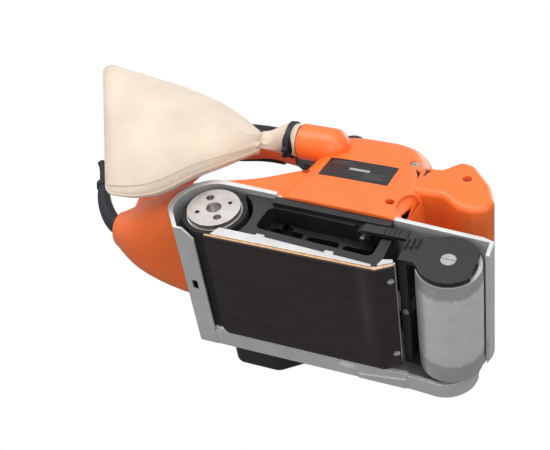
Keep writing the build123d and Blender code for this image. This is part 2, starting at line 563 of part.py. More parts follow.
def grip_loft(off, lo=0, hi=None, n=2.5):
    ws = []
    for x, z, ang, a, b in GRIP[lo:hi]:
        t = math.radians(ang)
        d = (-math.cos(t), 0.0, math.sin(t))
        nrm2 = (math.sin(t), 0.0, math.cos(t))
        ws.append(super_wire((x, 0.0, z), Yv, nrm2, a - off, b - off, n, 28))
    return loft(ws)


FRONT = [(126.0, 96.0), (153.0, 97.0), (166.9, 87.0), (178.4, 86.0), (189.0, 90.0), (192.0, 100.0), (184.0, 118.0), (167.0, 137.0),
         (156.0, 139.5), (149.5, 133.5), (144.0, 127.0), (128.0, 126.0)]
FRONT_R = [1, 12, 12, 9, 7, 7, 10, 10, 7, 8, 8, 3]
front_out = prism_y(FRONT, -45.0, 42.0, FRONT_R)
es = front_out.edges().filter_by(lambda e: (abs(e.center().Y + 45.0) < 0.01 or abs(e.center().Y - 42.0) < 0.01) and e.center().X > 131)
for r in (5.0, 3.5, 2.0):
    try:
        front_out = fillet(es, r)
        print("front fillet", r)
        break
    except Exception:
        continue
front_in = prism_y([(120.0, 99.5)] + inset(FRONT, SHELL_T)[1:-1] + [(120.0, 122.8)], -42.0, 39.0, [0, 10, 12, 7, 5, 5, 8, 8, 5, 8, 8, 0])

motor_out = motor_loft(0.0)
tail_out = tail_loft(0.0)
grip_out = grip_loft(0.0)
port_boss = cyl_x(DUCT_Y, DUCT_Z, PORT_R, 24.0, 50.0) + Pos(50.0, DUCT_Y, DUCT_Z) * Sphere(PORT_R)
solid_out = motor_out + tail_out + grip_out + front_out + port_boss
solid_in = motor_loft(SHELL_T, SHELL_T) + tail_loft(SHELL_T) + grip_loft(SHELL_T) + front_in

# everything below the deck line and round the hood belongs to the casting
envelope_pts = ([(-25.0, 1.2), (-38.5, 19.0)] + arc_pts(HOOD_X, HOOD_Z, HOOD_R, 188, 92, 16) + DECK[1:] + [(215.0, 50.0), (215.0, -5.0), (-25.0, -5.0)])
envelope = prism_y(envelope_pts, -50.8, 80.0)
open_pts = ([(-25.0, 1.2), (-38.5, 19.0)] + arc_pts(HOOD_X, HOOD_Z, HOOD_R, 188, 92, 16) + [(33.0, 58.6), (36.2, 58.5), (36.2, 54.0), (130.6, 51.5), (130.6, deck_z(130.6) + 0.02), (131.0, 55.02), (197.5, 51.22), (215.0, 50.0), (215.0, -5.0), (-25.0, -5.0)])
envelope2 = prism_y(open_pts, -70.0, -50.8)
shell = solid_out - solid_in
shell = shell - [envelope, envelope2, box(-60.0, 160.0, 70.0, 110.0, 0.0, 130.0)]

# bosses: screw axes along Y
HOUSE_SCREWS = [(42.7, 95.0), (120.0, 130.0), (120.4, 72.0), (165.5, 119.0)]
bosses = None
for x, z in HOUSE_SCREWS:
    b = cyl_y(x, z, 6.0, -52.0, -19.0)
    bosses = b if bosses is None else bosses + b
bosses += box(118.8, 137.0, -33.0, -19.0, 128.8, 131.2) + box(119.2, 138.0, -33.0, -19.0, 70.8, 73.2)
bosses += box(37.0, 42.0, -33.0, -19.0, 93.8, 96.2)
bosses += box(164.3, 166.7, -33.0, -19.0, 119.0, 137.0)
bosses += cyl_y(MOTOR_X, MOTOR_Z, 11.0, -52.0, -38.0)
bosses += cyl_y(MOTOR_X, MOTOR_Z, 11.0, 57.0, 70.0)
for x, y in DECK_SCREWS:
    bosses += cyl_z(x, y, 5.5, deck_z(x), 70.0)
# ribs that tie the deck bosses to the walls
for x, y in DECK_SCREWS[2:]:
    bosses += box(x, 138.0, y - 1.2, y + 1.2, deck_z(x) + 0.4, 66.0)
bosses += box(46.8, 49.2, -33.0, 69.0, deck_z(48.0) + 0.4, 66.0)
bosses &= solid_out
bosses -= envelope
shell += bosses
cuts = []
for x, z in HOUSE_SCREWS:
    cuts.append(cyl_y(x, z, 3.6, -70.0, -38.0))
    cuts.append(cyl_y(x, z, 1.7, -41.0, -20.5))
for x, y in DECK_SCREWS:
    cuts.append(cyl_z(x, y, 2.2, 40.0, 64.0))
cuts.append(cyl_y(MOTOR_X, MOTOR_Z, 8.0, -43.0, -30.0))
cuts.append(cyl_y(MOTOR_X, MOTOR_Z, 8.0, 50.0, 63.0))
cuts.append(cyl_y(MOTOR_X, MOTOR_Z, 5.0, 60.0, 75.0))
# motor air intake slots high on the left side and a crescent outlet at the right front
for i in range(6):
    cuts.append(prism_y([(116.5, 66.0 + i * 6.0), (131.0, 66.0 + i * 6.0), (131.0, 68.6 + i * 6.0), (116.5, 68.6 + i * 6.0)], 58.0, 75.0, 1.2))
crescent = (cyl_y(152.0, 74.0, 26.0, -60.0, -30.0) & box(124.0, 136.8, -60.0, -30.0, 58.0, 91.0)) - motor_loft(2.2)
cuts.append(crescent)
cuts.append(prism_y([(131.2, 63.0), (134.2, 63.0), (135.6, 84.0), (133.4, 84.0)], -60.0, -40.0, 0.8))
# slots and bores for the controls
DIAL_X, DIAL_Y, DIAL_Z, DIAL_R = 57.0, -26.0, 157.0, 10.0
cuts.append(box(DIAL_X - 11.2, DIAL_X + 11.2, DIAL_Y - 3.8, DIAL_Y + 3.8, 145.0, 180.0))
TRIG_X, TRIG_Z = 6.0, 160.5
cuts.append(box(2.0, 38.0, -6.2, 6.2, 138.0, 161.5))
cuts.append(cyl_y(TRIG_X, TRIG_Z, 1.5, -10.5, 10.5))
LOCK_X, LOCK_Z = 14.0, 166.5
cuts.append(cyl_y(LOCK_X, LOCK_Z, 4.0 + RUN, 6.0, 25.0))
cuts.append(cyl_x(DUCT_Y, DUCT_Z, DUCT_R, 20.0, 40.0))
cuts.append(cyl_x(DUCT_Y, DUCT_Z, DUCT_R - 2.4, 39.0, 52.0))
cuts.append(cyl_x(2.0, 40.6, 8.3, -115.0, -98.0))
shell = shell - cuts


# parting: shallow right shell over the motor, centre line along the grip and tail
right_zone = box(28.0, 260.0, -120.0, PART_Y, -20.0, 260.0) + box(-200.0, 28.0, -120.0, 0.0, -20.0, 260.0)
housing_right = shell & right_zone
housing_left = shell - right_zone
print("right solids", len(housing_right.solids()), "left", len(housing_left.solids()))


def main_solid(s, keep=1):
    """Keeps the largest solids of a cut and drops slivers."""
    so = sorted(s.solids(), key=lambda q: -q.volume)
    for q in so[1:5]:
        bb = q.bounding_box()
        print("   dropped", round(q.volume, 1), [round(v) for v in bb.min], [round(v) for v in bb.max])
    return Part() + so[:keep] if keep > 1 else Part() + so[0]


# label plate, flush in the right side
label_zone = box(55.0, 111.5, -60.0, -38.0, 90.7, 118.6)
label = (label_zone & motor_out) - motor_loft(0.8)
label = main_solid(label)
housing_right = housing_right - label
housing_right = main_solid(housing_right)
housing_left = main_solid(housing_left)
save("rating_label", label)
save("housing_right", housing_right)
save("housing_left", housing_left)

hs = None
for x, z in HOUSE_SCREWS:
    s = screw_y(x, z, -40.4 - 0.0, 3.4, 2.4, 1.6, 19.0)
    s = Pos(0, 0, 0) * s
    hs = s if hs is None else hs + s
# counterbore floor sits just behind the heads
save("housing_screws", hs)
save("deck_screws", deck_screws)

# grip cover: soft strip over the top of the bar
soft = grip_loft(-1.6) - grip_loft(-0.12)
soft &= (box(-66.0, -12.0, -30.0, 30.0, 168.0, 200.0) + box(-130.0, -60.0, -30.0, 30.0, 92.0, 200.0)
         + box(-66.0, -12.0, -30.0, 30.0, 160.0, 200.0)) - box(-88.0, -40.0, -30, 30, 60.0, 140.0)
soft -= motor_out
soft -= tail_out
soft -= cyl_y(LOCK_X, LOCK_Z, 5.0, 5.0, 30.0)
save("handle_grip", main_solid(soft))

# ---------------------------------------------------------------- controls
trig = prism_y([(2.5, 157.5), (8.0, 163.0), (35.0, 163.0), (36.5, 155.0), (33.0, 147.0), (24.0, 145.5), (14.0, 149.0)], -5.6, 5.6, [1, 2, 1, 1, 3, 5, 8])
trig -= cyl_y(TRIG_X, TRIG_Z, 1.5 + RUN, -10, 10)
save("trigger", trig)
tpin = cyl_y(TRIG_X, TRIG_Z, 1.5, -10.5, 10.5)
save("trigger_pin", tpin)
sw = box(0.0, 34.0, -7.0, 5.0, 167.0, 176.0) & grip_loft(SHELL_T + 0.5)
save("trigger_switch", main_solid(sw))
lock = cyl_y(LOCK_X, LOCK_Z, 4.0, 8.9, 16.9)
save("lock_button", lock)
dial = cyl_y(DIAL_X, DIAL_Z, DIAL_R, DIAL_Y - 3.2, DIAL_Y + 3.2)
for k in range(24):
    a = 2 * math.pi * k / 24
    dial -= cyl_y(DIAL_X + (DIAL_R + 0.3) * math.cos(a), DIAL_Z + (DIAL_R + 0.3) * math.sin(a), 0.8, DIAL_Y - 4, DIAL_Y + 4)
dial -= cyl_y(DIAL_X, DIAL_Z, 2.0 + RUN, DIAL_Y - 4, DIAL_Y + 4)
save("speed_dial", dial)
module = box(52.0, 74.0, -12.0, 14.0, 142.0, 155.5) + box(53.5, 61.0, -12.0, -6.0, 150.0, 159.5) + cyl_y(DIAL_X, DIAL_Z, 2.0, DIAL_Y - 3.7, -11.0)
save("speed_module", module)

# ---------------------------------------------------------------- idler
roller = cyl_y(IDLER_X, IDLER_Z, IDLER_R, -30.0, 32.0)
cone1 = Pos(IDLER_X, -39.25, IDLER_Z) * Rot(90, 0, 0) * Cone(bottom_radius=IDLER_R, top_radius=23.6, height=18.5)
cone2 = Pos(IDLER_X, 41.25, IDLER_Z) * Rot(-90, 0, 0) * Cone(bottom_radius=IDLER_R, top_radius=23.6, height=18.5)
roller = roller + cone1 + cone2
roller -= cyl_y(IDLER_X, IDLER_Z, 9.5, -60, 60)
roller -= ring_y(IDLER_X, IDLER_Z, 20.5, 12.5, -60, -42.0)
roller -= ring_y(IDLER_X, IDLER_Z, 20.5, 12.5, 44.0, 60)
save("idler_roller", roller)
save("roller_bushes", ring_y(IDLER_X, IDLER_Z, 9.5, AXLE_R + RUN, -48.3, -40.0) + ring_y(IDLER_X, IDLER_Z, 9.5, AXLE_R + RUN, 42.0, 50.3))
axle = cyl_y(IDLER_X, IDLER_Z, AXLE_R, -53.2, 55.0)
axle -= box(IDLER_X - 8, IDLER_X + 8, -54, -52.6, IDLER_Z - 0.5, IDLER_Z + 0.5)
save("idler_axle", axle)

YPIN_X = 149.0
arm_open = cyl_y(IDLER_X, IDLER_Z, 23.0, -53.0, -49.2) & box(148.0, 199.0, -60, 0, 0.0, 60.0)
arm_open += prism_y([(146.0, 15.0), (157.0, 15.0), (170.0, 3.2), (172.0, 44.0), (160.0, 42.0), (146.0, 35.0)], -53.0, -49.2, [3, 4, 2, 2, 5, 4])
arm_far = prism_y([(146.0, 15.0), (180.0, 9.0), (195.0, 24.0), (180.0, 39.0), (146.0, 35.0)], 51.6, 55.0, [3, 10, 14, 10, 3])
yoke = arm_open + arm_far + box(146.0, 152.0, -53.0, 55.0, 15.0, 35.0)
# short ribs on the rear of the open side arm
for i in range(3):
    yoke += box(146.5 + i * 4.0, 148.0 + i * 4.0, -54.6, -52.9, 26.0 + i * 1.5, 36.0 + i * 1.5)
yoke -= cyl_y(IDLER_X, IDLER_Z, AXLE_R, -60, 60)
yoke -= box(140.0, 156.0, -9.0, 9.0, 19.9, 28.1)
yoke -= cyl_z(YPIN_X, 0.0, 2.5 + RUN, 10.0, 40.0)
yoke -= box(150.5, 153.0, -40.0, -14.0, 17.0, 31.0)
yoke -= box(150.5, 153.0, 14.0, 42.0, 17.0, 31.0)
save("idler_yoke", yoke)
save("yoke_pin", cyl_z(YPIN_X, 0.0, 2.5, 15.0, 35.0))
stem = cyl_x(0.0, 24.0, 6.0, 93.0, 141.0) + (box(139.0, 152.0, -6.0, 6.0, 20.0, 28.0))
stem -= cyl_z(YPIN_X, 0.0, 2.5 + RUN, 10.0, 40.0)
save("tension_stem", stem)

# compression spring round the stem
spring_x0, spring_x1 = 112.6, 145.4
turns, wire, r_coil = 6, 0.7, 8.3
try:
    hx = Helix(pitch=(spring_x1 - spring_x0 - 2 * wire) / turns, height=spring_x1 - spring_x0 - 2 * wire, radius=r_coil)
    prof = Plane(origin=hx @ 0, z_dir=hx % 0) * Circle(wire)
    sp = sweep(prof, path=hx, is_frenet=True)
    sp = Pos(spring_x0 + wire, 0, 24.0) * Rot(0, 90, 0) * sp
    save("tension_spring", sp)
except Exception as err:
    print("spring failed", err)

# tension lever, folded along the machine at rest
LEV_X, LEV_Y = 112.0, -46.0
lever = prism_z([(112.0, -52.8), (144.0, -52.8), (147.0, -51.4), (144.0, -49.6), (118.0, -49.6), (117.0, -46.0), (107.0, -46.0), (107.0, -50.0)], 36.4, 44.4, [3, 2, 1, 1, 2, 0, 0, 3])
lever += cyl_z(LEV_X, LEV_Y, 5.6, 36.4, 44.4)
lever -= cyl_z(LEV_X, LEV_Y, 2.0 + RUN, 30, 50)
for i in range(4):
    lever -= box(128.0 + i * 3.6, 129.6 + i * 3.6, -54.0, -52.2, 37.4, 43.4)
save("tension_lever", lever)
save("lever_pin", cyl_z(LEV_X, LEV_Y, 2.0, 33.0, 48.0))

# tracking knob on the left side
knob = cyl_y(TRACK_X, TRACK_Z, 9.0, 71.0, 82.0)
for k in range(14):
    a = 2 * math.pi * k / 14
    knob -= cyl_y(TRACK_X + 9.6 * math.cos(a), TRACK_Z + 9.6 * math.sin(a), 1.3, 70, 83)
knob -= cyl_y(TRACK_X, TRACK_Z, 3.5, 70, 78)
save("tracking_knob", knob)
save("tracking_spindle", cyl_y(TRACK_X, TRACK_Z, 3.5, 57.0, 78.0))

# ---------------------------------------------------------------- duct, bag
duct = cyl_x(DUCT_Y, DUCT_Z, DUCT_R, 12.0, 40.0) - cyl_x(DUCT_Y, DUCT_Z, DUCT_R - 2.4, 11.0, 50.0)
duct += (cyl_x(DUCT_Y, DUCT_Z, DUCT_R + 1.3, 22.2, 24.0) - cyl_x(DUCT_Y, DUCT_Z, DUCT_R - 2.4, 11.0, 50.0))
save("dust_duct", duct)

COLLAR_X0, COLLAR_X1 = 10.0, 21.5
collar = cyl_x(DUCT_Y, DUCT_Z, DUCT_R + 1.4, COLLAR_X0, COLLAR_X1) - cyl_x(DUCT_Y, DUCT_Z, DUCT_R + RUN, COLLAR_X0 + 1.5, COLLAR_X1 + 1)
collar -= cyl_x(DUCT_Y, DUCT_Z, DUCT_R - 1.5, 0.0, 40.0)
save("bag_collar", collar)

BAG = [  # top x,z  bottom x,z  centre y, half thickness, exponent
    (22.0, 147.4, 22.0, 120.6, -42.0, 13.4, 2.0),
    (9.5, 147.0, 10.5, 121.0, -42.0, 13.2, 2.0),
    (-4.5, 129.5, 3.5, 111.0, -48.5, 6.5, 2.0),
    (-16.0, 133.0, -5.5, 107.5, -52.0, 8.0, 2.0),
    (-32.3, 139.5, -10.9, 93.5, -57.0, 10.5, 2.1),
    (-53.3, 144.3, -19.2, 73.1, -63.0, 14.5, 2.2),
    (-84.5, 147.5, -33.2, 46.0, -69.0, 17.0, 2.2),
    (-111.5, 149.3, -46.2, 18.3, -73.0, 17.0, 2.2),
    (-136.3, 152.9, -60.7, 6.3, -75.0, 14.0, 2.3),
    (-158.6, 156.2, -75.8, 3.0, -76.0, 9.0, 2.4),
    (-166.0, 152.4, -83.5, 4.1, -76.0, 3.5, 2.4),
]


def bag_loft(off):
    ws = []
    for i, (tx, tz, bx0, bz0, yc, a, n) in enumerate(BAG):
        cx, cz = (tx + bx0) / 2, (tz + bz0) / 2
        hx0, hz0 = (tx - bx0) / 2, (tz - bz0) / 2
        h = math.hypot(hx0, hz0)
        e2 = (hx0 / h, 0.0, hz0 / h)
        k = 1.0
        if i == len(BAG) - 1:
            cx += off * 0.9
            cz -= off * 0.0
        if i == 0:
            cx += max(off, 0.0) * 2
        ws.append(super_wire((cx, yc, cz), Yv, e2, max(a - off, 1.5) * k, (h - off) * k, n, 32))
    return Part() + Solid.make_loft(ws, ruled=True)


bag = bag_loft(0.0) - bag_loft(0.9)
bag -= cyl_x(DUCT_Y, DUCT_Z, DUCT_R + 1.45, 9.9, 40.0)
bag = main_solid(bag)
save("dust_bag", bag)
clip = (bag_loft(-1.8) + box(13.0, 17.0, DUCT_Y - 4.0, DUCT_Y + 4.0, DUCT_Z - 19.0, DUCT_Z - 13.5)) & box(13.0, 17.0, -80.0, 0.0, 80.0, 160.0)
clip -= bag_loft(-0.15)
clip -= box(12.0, 24.0, DUCT_Y - 1.2, DUCT_Y + 1.2, DUCT_Z - 24.0, DUCT_Z - 15.8)
save("bag_clip", clip)

# ---------------------------------------------------------------- cord
BOOT = [(-94.0, 2.0, 40.0), (-106.0, 2.0, 41.0), (-121.0, 2.0, 50.0), (-134.0, 1.0, 64.0), (-144.0, -1.0, 80.0)]
CORD_R = 3.2
boot_path = Edge.make_spline([Vector(*p) for p in BOOT], tangents=[Vector(-1, 0, 0), Vector(-0.5, -0.1, 0.85)])


def round_loft(path, radii):
    """Loft of circles square to a path, one radius per station."""
    ws = []
    n = len(radii)
    for i, r in enumerate(radii):
        t = i / (n - 1)
        pl = Plane(origin=path @ t, x_dir=(0, 1, 0), z_dir=path % t)
        ws.append((pl * Circle(r)).face().outer_wire())
    return Part() + Solid.make_loft(ws, ruled=False)


boot = round_loft(boot_path, [7.0 if i < 2 else 7.6 - 2.6 * i / 8 for i in range(9)])
# collar at the cable end
pe, de = boot_path @ 1.0, boot_path % 1.0
boot += Plane(origin=pe, z_dir=de) * (Pos(0, 0, 2.0) * Cylinder(5.8, 5.0))
full = Edge.make_spline([Vector(-84.0, 2.0, 40.0)] + [Vector(*p) for p in BOOT] + [Vector(-151.0, -3.0, 93.0), Vector(-159.0, -6.0, 104.0)],
                        tangents=[Vector(-1, 0, 0), Vector(-0.75, -0.3, 0.6)])
cord = round_loft(full, [CORD_R] * 15)
bore_boot = round_loft(full, [CORD_R + 0.05] * 15)
boot -= bore_boot
flange = cyl_x(2.0, 40.0, 9.5, -97.5, -94.5) - bore_boot
boot += flange & tail_loft(SHELL_T + 0.2)
save("cord_boot", main_solid(boot))
save("power_cord", cord)
clamp = box(-92.0, -86.0, -6.0, 10.0, 33.5, 46.5) - bore_boot
clamp &= tail_loft(SHELL_T + 0.1)
save("cord_clamp", clamp)

# ---------------------------------------------------------------- export
for name, shape in nodes.items():
    moved = Pos(X_SHIFT, 0, 0) * shape
    so = moved.solids()
    out = Compound(children=list(so)) if len(so) > 1 else so[0]
    out.label = name
    export_step(out, f"parts/{name}.step")
    print(name, len(so), round(sum(q.volume for q in so)), [round(v, 1) for v in out.bounding_box().min], [round(v, 1) for v in out.bounding_box().max])
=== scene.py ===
import json
import math
import random

import bmesh
import bpy
from mathutils import Matrix, Quaternion, Vector, noise


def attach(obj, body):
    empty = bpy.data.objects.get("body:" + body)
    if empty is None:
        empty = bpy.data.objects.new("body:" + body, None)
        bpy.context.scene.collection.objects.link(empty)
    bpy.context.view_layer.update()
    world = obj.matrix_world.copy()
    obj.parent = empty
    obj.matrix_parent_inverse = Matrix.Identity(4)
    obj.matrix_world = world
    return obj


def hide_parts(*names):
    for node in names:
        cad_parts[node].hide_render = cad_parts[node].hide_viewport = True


random.seed(7)
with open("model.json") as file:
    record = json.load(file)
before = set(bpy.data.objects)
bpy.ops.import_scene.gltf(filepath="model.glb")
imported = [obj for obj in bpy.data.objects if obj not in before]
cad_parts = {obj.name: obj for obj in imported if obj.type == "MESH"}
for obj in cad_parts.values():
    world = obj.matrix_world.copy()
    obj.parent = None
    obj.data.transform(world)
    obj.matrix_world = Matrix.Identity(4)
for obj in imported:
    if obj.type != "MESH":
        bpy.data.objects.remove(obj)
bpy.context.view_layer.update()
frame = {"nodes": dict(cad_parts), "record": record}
nodes = frame["nodes"]
XS = -67.0  # CAD x of the platen's rear edge, mm


def P(x, y, z):
    """Point in metres from millimetres measured off the platen's rear edge."""
    return Vector(((x + XS) / 1000.0, y / 1000.0, z / 1000.0))


# ------------------------------------------------------------------ materials
class Mat:
    def __init__(self, name):
        self.m = bpy.data.materials.new(name)
        self.m.use_nodes = True
        self.nt = self.m.node_tree
        self.nt.nodes.clear()
        self.out = self.nt.nodes.new("ShaderNodeOutputMaterial")
        self.b = self.nt.nodes.new("ShaderNodeBsdfPrincipled")
        self.nt.links.new(self.b.outputs[0], self.out.inputs[0])
        self.tc = self.nt.nodes.new("ShaderNodeTexCoord")

    def link(self, a, b):
        self.nt.links.new(a, b)

    def mapping(self, scale=(1, 1, 1), rot=(0, 0, 0), loc=(0, 0, 0)):
        n = self.nt.nodes.new("ShaderNodeMapping")
        n.inputs["Scale"].default_value = scale
        n.inputs["Rotation"].default_value = rot
        n.inputs["Location"].default_value = loc
        self.link(self.tc.outputs["Object"], n.inputs[0])
        return n.outputs[0]

    def noise(self, vec, scale, detail=3.0, rough=0.5, dist=0.0):
        n = self.nt.nodes.new("ShaderNodeTexNoise")
        n.inputs["Scale"].default_value = scale
        n.inputs["Detail"].default_value = detail
        n.inputs["Roughness"].default_value = rough
        n.inputs["Distortion"].default_value = dist
        self.link(vec, n.inputs["Vector"])
        return n.outputs[0]

    def voronoi(self, vec, scale):
        n = self.nt.nodes.new("ShaderNodeTexVoronoi")
        n.inputs["Scale"].default_value = scale
        self.link(vec, n.inputs["Vector"])
        return n

    def ramp(self, fac, stops):
        n = self.nt.nodes.new("ShaderNodeValToRGB")
        cr = n.color_ramp
        while len(cr.elements) < len(stops):
            cr.elements.new(0.5)
        for e, (p, c) in zip(cr.elements, stops):
            e.position = p
            e.color = (*c, 1.0) if len(c) == 3 else c
        self.link(fac, n.inputs[0])
        return n.outputs[0]

    def rng(self, fac, a, b, lo=0.0, hi=1.0):
        n = self.nt.nodes.new("ShaderNodeMapRange")
        n.inputs["From Min"].default_value = lo
        n.inputs["From Max"].default_value = hi
        n.inputs["To Min"].default_value = a
        n.inputs["To Max"].default_value = b
        self.link(fac, n.inputs["Value"])
        return n.outputs[0]

    def math(self, op, a, b=None, clamp=False):
        n = self.nt.nodes.new("ShaderNodeMath")
        n.operation = op
        n.use_clamp = clamp
        for i, v in enumerate((a, b)):
            if v is None:
                continue
            if isinstance(v, (int, float)):
                n.inputs[i].default_value = v
            else:
                self.link(v, n.inputs[i])
        return n.outputs[0]

    def mix(self, fac, a, b):
        n = self.nt.nodes.new("ShaderNodeMix")
        n.data_type = "RGBA"
        if isinstance(fac, (int, float)):
            n.inputs["Factor"].default_value = fac
        else:
            self.link(fac, n.inputs["Factor"])
        for key, v in (("A", a), ("B", b)):
            sock = [s for s in n.inputs if s.name == key and s.type == "RGBA"][0]
            if isinstance(v, (tuple, list)):
                sock.default_value = (*v[:3], 1.0)
            else:
                self.link(v, sock)
        return [s for s in n.outputs if s.type == "RGBA"][0]

    def color(self, v):
        if isinstance(v, (tuple, list)):
            self.b.inputs["Base Color"].default_value = (*v[:3], 1.0)
        else:
            self.link(v, self.b.inputs["Base Color"])

    def rough(self, v):
        if isinstance(v, (int, float)):
            self.b.inputs["Roughness"].default_value = v
        else:
            self.link(v, self.b.inputs["Roughness"])

    def bump(self, height, strength, dist=0.0004, bevel=0.0005):
        n = self.nt.nodes.new("ShaderNodeBump")
        n.inputs["Strength"].default_value = strength
        n.inputs["Distance"].default_value = dist
        self.link(height, n.inputs["Height"])
        if bevel:
            bv = self.nt.nodes.new("ShaderNodeBevel")
            bv.samples = 4
            bv.inputs["Radius"].default_value = bevel
            self.link(bv.outputs[0], n.inputs["Normal"])
        self.link(n.outputs[0], self.b.inputs["Normal"])

    def xyz(self):
        n = self.nt.nodes.new("ShaderNodeSeparateXYZ")
        self.link(self.tc.outputs["Object"], n.inputs[0])
        return n.outputs[0], n.outputs[1], n.outputs[2]


def plastic(name, col, rough, grain=0.12, vary=0.06, spec=0.5, bevel=0.0006, grain_scale=1500.0):
    k = Mat(name)
    big = k.noise(k.mapping(), 14.0, 4.0, 0.6)
    dark = tuple(c * (1 - vary * 1.6) for c in col)
    light = tuple(min(1.0, c * (1 + vary)) for c in col)
    k.color(k.ramp(big, [(0.3, dark), (0.7, light)]))
    mid = k.noise(k.mapping(), 60.0, 5.0, 0.65)
    k.rough(k.rng(mid, rough - 0.05, rough + 0.09, 0.3, 0.7))
    k.b.inputs["Specular IOR Level"].default_value = spec
    k.bump(k.noise(k.mapping(), grain_scale, 2.0, 0.5), grain, 0.0003, bevel)
    return k.m


def cast_metal():
    k = Mat("cast_aluminium")
    k.b.inputs["Metallic"].default_value = 0.6
    big = k.noise(k.mapping(), 18.0, 6.0, 0.65)
    k.color(k.ramp(big, [(0.25, (0.58, 0.58, 0.575)), (0.55, (0.70, 0.70, 0.69)), (0.8, (0.77, 0.77, 0.76))]))
    mid = k.noise(k.mapping(), 110.0, 5.0, 0.6)
    k.rough(k.rng(mid, 0.34, 0.52, 0.3, 0.7))
    fine = k.noise(k.mapping(), 900.0, 3.0, 0.6)
    scr = k.noise(k.mapping((40.0, 900.0, 900.0), (0.2, 0.1, 0.3)), 1.0, 2.0, 0.5)
    h = k.math("ADD", fine, k.math("MULTIPLY", scr, 0.5))
    k.bump(h, 0.22, 0.0003, 0.0008)
    return k.m


def brushed(name, col, rough, axis="x", amt=0.16, metallic=1.0, streak=1800.0):
    k = Mat(name)
    k.b.inputs["Metallic"].default_value = metallic
    sc = {"x": (6.0, streak, streak), "y": (streak, 6.0, streak), "z": (streak, streak, 6.0)}[axis]
    s = k.noise(k.mapping(sc), 1.0, 3.0, 0.6)
    big = k.noise(k.mapping(), 30.0, 5.0, 0.6)
    k.color(k.ramp(big, [(0.3, tuple(c * 0.86 for c in col)), (0.7, tuple(min(1.0, c * 1.06) for c in col))]))
    k.rough(k.rng(s, rough - 0.06, rough + 0.12, 0.3, 0.7))
    k.bump(s, amt, 0.0002, 0.0004)
    return k.m


def turned(name, cx, cz, col, rough, metallic=1.0):
    """Concentric turning marks about an axis along Y through (cx, cz)."""
    k = Mat(name)
    k.b.inputs["Metallic"].default_value = metallic
    x, y, z = k.xyz()
    dx = k.math("SUBTRACT", x, cx)
    dz = k.math("SUBTRACT", z, cz)
    r = k.math("SQRT", k.math("ADD", k.math("MULTIPLY", dx, dx), k.math("MULTIPLY", dz, dz)))
    comb = k.nt.nodes.new("ShaderNodeCombineXYZ")
    k.link(k.math("MULTIPLY", r, 2600.0), comb.inputs[0])
    k.link(k.math("MULTIPLY", y, 900.0), comb.inputs[1])
    rings = k.noise(comb.outputs[0], 1.0, 2.0, 0.5)
    big = k.noise(k.mapping(), 60.0, 5.0, 0.7)
    k.color(k.ramp(big, [(0.3, tuple(c * 0.8 for c in col)), (0.7, tuple(min(1.0, c * 1.08) for c in col))]))
    k.rough(k.rng(rings, rough - 0.05, rough + 0.12, 0.3, 0.7))
    k.bump(rings, 0.12, 0.0002, 0.0004)
    return k.m


def roller_metal():
    k = Mat("roller_alu")
    k.b.inputs["Metallic"].default_value = 0.65
    x, y, z = k.xyz()
    rag = k.noise(k.mapping((260.0, 40.0, 260.0)), 1.0, 3.0, 0.7)
    yy = k.math("ABSOLUTE", k.math("SUBTRACT", y, -0.0015))
    edge = k.math("ADD", yy, k.math("MULTIPLY", k.math("SUBTRACT", rag, 0.5), 0.007))
    band = k.rng(edge, 1.0, 0.0, 0.0325, 0.036)
    streak = k.noise(k.mapping((30.0, 1500.0, 30.0)), 1.0, 3.0, 0.6)
    blot = k.noise(k.mapping(), 90.0, 6.0, 0.7)
    dull = k.ramp(blot, [(0.3, (0.46, 0.46, 0.47)), (0.7, (0.58, 0.58, 0.59))])
    bright = k.ramp(blot, [(0.3, (0.80, 0.79, 0.77)), (0.7, (0.93, 0.92, 0.90))])
    k.color(k.mix(band, dull, bright))
    rr = k.math("ADD", k.rng(band, 0.40, 0.30), k.math("MULTIPLY", k.math("SUBTRACT", streak, 0.5), 0.22))
    k.rough(rr)
    k.bump(k.math("ADD", streak, k.math("MULTIPLY", blot, 0.4)), 0.16, 0.0002, 0.0006)
    return k.m


def pad_cloth():
    k = Mat("graphite")
    x, y, z = k.xyz()
    wa = k.math("SINE", k.math("MULTIPLY", x, 2 * math.pi / 0.0011))
    wb = k.math("SINE", k.math("MULTIPLY", y, 2 * math.pi / 0.0011))
    weave = k.math("MULTIPLY", wa, wb)
    streak = k.noise(k.mapping((9.0, 260.0, 60.0)), 1.0, 5.0, 0.6)
    blot = k.noise(k.mapping(), 25.0, 5.0, 0.6)
    # painted highlight: pale line just ahead of the bend, standing in for light catching the bent edge
    bend = k.math("ABSOLUTE", k.math("SUBTRACT", x, 0.0575))
    painted_bend_highlight = k.rng(bend, 0.5, 0.0, 0.0, 0.007)
    base = k.ramp(streak, [(0.3, (0.018, 0.0125, 0.0125)), (0.7, (0.030, 0.022, 0.021))])
    # the pale colour mixed in along the bend is a painted highlight, broken up by noise
    k.color(k.mix(k.math("MULTIPLY", painted_bend_highlight, k.rng(blot, 0.0, 1.0, 0.35, 0.7)), base, (0.075, 0.062, 0.058)))
    k.rough(k.rng(blot, 0.42, 0.62, 0.3, 0.7))
    k.b.inputs["Specular IOR Level"].default_value = 0.35
    h = k.math("ADD", k.math("MULTIPLY", weave, 0.25), streak)
    k.bump(h, 0.25, 0.0003, 0.0004)
    return k.m


def cork_mat():
    k = Mat("cork")
    v = k.voronoi(k.mapping(), 900.0)
    n = k.noise(k.mapping(), 700.0, 4.0, 0.7)
    k.color(k.ramp(n, [(0.3, (0.36, 0.19, 0.08)), (0.5, (0.62, 0.36, 0.17)), (0.7, (0.74, 0.47, 0.24))]))
    k.rough(k.rng(n, 0.75, 0.95, 0.3, 0.7))
    k.bump(v.outputs["Distance"], 0.5, 0.0004, 0.0)
    return k.m


